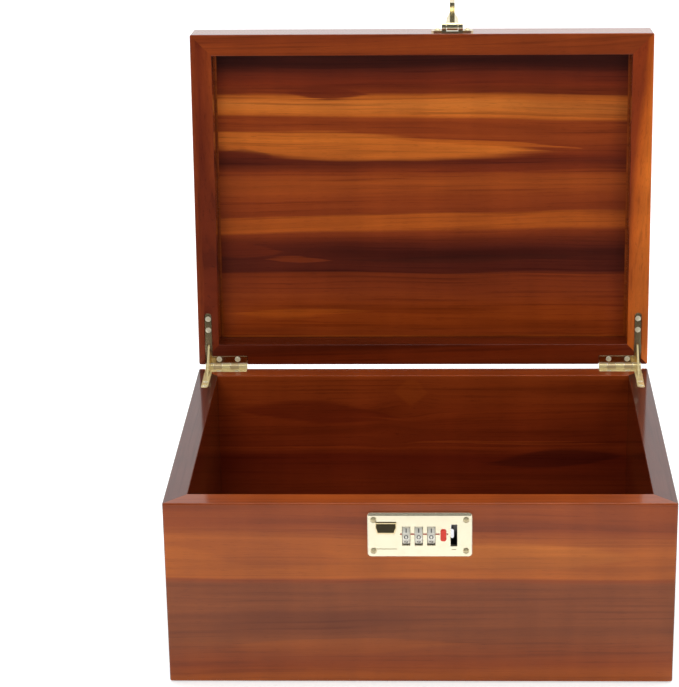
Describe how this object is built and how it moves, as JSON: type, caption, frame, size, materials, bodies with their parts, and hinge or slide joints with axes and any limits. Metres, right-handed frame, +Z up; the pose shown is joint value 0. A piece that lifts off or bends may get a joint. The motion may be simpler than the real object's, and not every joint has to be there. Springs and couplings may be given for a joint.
{
  "type": "lockable wooden keepsake box",
  "caption": "Hinged wooden storage box with mitred corners, a framed lid on stay hinges, and a small combination lock with a swinging hasp.",
  "frame": {"origin": "centre of the underside of the base felt", "axes": "+X right seen from the front, +Y to the back, +Z up; the lid is at its open stop at rest"},
  "size_m": [0.305, 0.2891, 0.361],
  "materials": {
    "wood_front": "glossy lacquer over banded red-brown grain",
    "wood_back": "glossy lacquer",
    "wood_side": "glossy lacquer",
    "wood_inner_panel": "satin lacquer",
    "wood_lid_frame": "glossy lacquer",
    "wood_lid_panel": "glossy lacquer over dark and orange streaks",
    "felt": "matt felt",
    "hinge_brass": "polished",
    "hasp_brass": "polished",
    "plate_gold": "pale gold plate, polished",
    "slider_gold": "polished",
    "hub_brass": "turned",
    "case_steel": "zinc plated",
    "bright_steel": "polished",
    "spring_steel": "drawn",
    "dial_silver": "satin silver with black digits",
    "red_plastic": "gloss"
  },
  "bodies": {
    "box": {"front_panel": "wood_front", "back_panel": "wood_back", "left_panel": "wood_side", "right_panel": "wood_side", "bottom_panel": "wood_inner_panel", "base_felt": "felt", "lock_face_plate": "plate_gold", "lock_case": "case_steel", "lock_screws": "plate_gold", "dial_axle": "bright_steel", "detent_spring": "spring_steel", "slider_spring": "spring_steel", "reset_spring": "spring_steel", "left_hinge_box_leaf": "hinge_brass", "left_hinge_pin": "hinge_brass", "left_hinge_box_screws": "hinge_brass", "left_stay_guide_pin": "hinge_brass", "right_hinge_box_leaf": "hinge_brass", "right_hinge_pin": "hinge_brass", "right_hinge_box_screws": "hinge_brass", "right_stay_guide_pin": "hinge_brass"},
    "lid": {"lid_front_rail": "wood_lid_frame", "lid_back_rail": "wood_lid_frame", "lid_left_stile": "wood_lid_frame", "lid_right_stile": "wood_lid_frame", "lid_top_panel": "wood_lid_panel", "hasp_base": "hasp_brass", "hasp_pin": "hasp_brass", "hasp_screws": "hasp_brass", "left_hinge_lid_leaf": "hinge_brass", "left_hinge_lid_screws": "hinge_brass", "left_stay_pivot_pin": "hinge_brass", "right_hinge_lid_leaf": "hinge_brass", "right_hinge_lid_screws": "hinge_brass", "right_stay_pivot_pin": "hinge_brass"},
    "hasp": {"hasp_tongue": "hasp_brass", "hasp_staple": "hasp_brass"},
    "left_stay": {"left_stay_arm": "hinge_brass"},
    "right_stay": {"right_stay_arm": "hinge_brass"},
    "dial_1": {"dial_1": "dial_silver", "dial_1_hub": "hub_brass"},
    "dial_2": {"dial_2": "dial_silver", "dial_2_hub": "hub_brass"},
    "dial_3": {"dial_3": "dial_silver", "dial_3_hub": "hub_brass"},
    "slider": {"thumb_slider": "slider_gold"},
    "bolt": {"bolt": "bright_steel"},
    "reset": {"reset_button": "red_plastic"}
  },
  "joints": [
    {"name": "lid_hinge", "type": "hinge", "parent": "box", "child": "lid", "pos_m": [0, 0.1143, 0.11915], "axis": [1, 0, 0], "range_deg": [0, 95]},
    {"name": "hasp_swing", "type": "hinge", "parent": "lid", "child": "hasp", "pos_m": [0.0202, 0.13956, 0.34882], "axis": [1, 0, 0], "range_deg": [-12.5, 172]},
    {"name": "left_stay_pivot", "type": "hinge", "parent": "lid", "child": "left_stay", "pos_m": [-0.1456, 0.1176, 0.13221], "axis": [1, 0, 0], "range_deg": [-47.5, 0]},
    {"name": "right_stay_pivot", "type": "hinge", "parent": "lid", "child": "right_stay", "pos_m": [0.1456, 0.1176, 0.13221], "axis": [1, 0, 0], "range_deg": [-47.5, 0]},
    {"name": "dial_1_turn", "type": "hinge", "parent": "box", "child": "dial_1", "pos_m": [-0.00805, -0.1105, 0.0992], "axis": [1, 0, 0], "continuous": true},
    {"name": "dial_2_turn", "type": "hinge", "parent": "box", "child": "dial_2", "pos_m": [-0.0006, -0.1105, 0.0992], "axis": [1, 0, 0], "continuous": true},
    {"name": "dial_3_turn", "type": "hinge", "parent": "box", "child": "dial_3", "pos_m": [0.00685, -0.1105, 0.0992], "axis": [1, 0, 0], "continuous": true},
    {"name": "slider_slide", "type": "slide", "parent": "box", "child": "slider", "axis": [0, 0, -1], "range_m": [0, 0.005], "stiffness_N_per_m": 250, "springref_m": -0.004, "deforming": ["slider_spring"]},
    {"name": "bolt_slide", "type": "slide", "parent": "box", "child": "bolt", "axis": [-1, 0, 0], "range_m": [0, 0.0022]},
    {"name": "reset_press", "type": "slide", "parent": "box", "child": "reset", "axis": [0, 1, 0], "range_m": [0, 0.001], "stiffness_N_per_m": 400, "springref_m": -0.0015, "deforming": ["reset_spring"]}
  ],
  "couplings": [
    {"joint": "left_stay_pivot", "follows": "lid_hinge", "ratio": -0.5},
    {"joint": "right_stay_pivot", "follows": "lid_hinge", "ratio": -0.5},
    {"joint": "bolt_slide", "follows": "slider_slide", "ratio": 0.44}
  ]
}
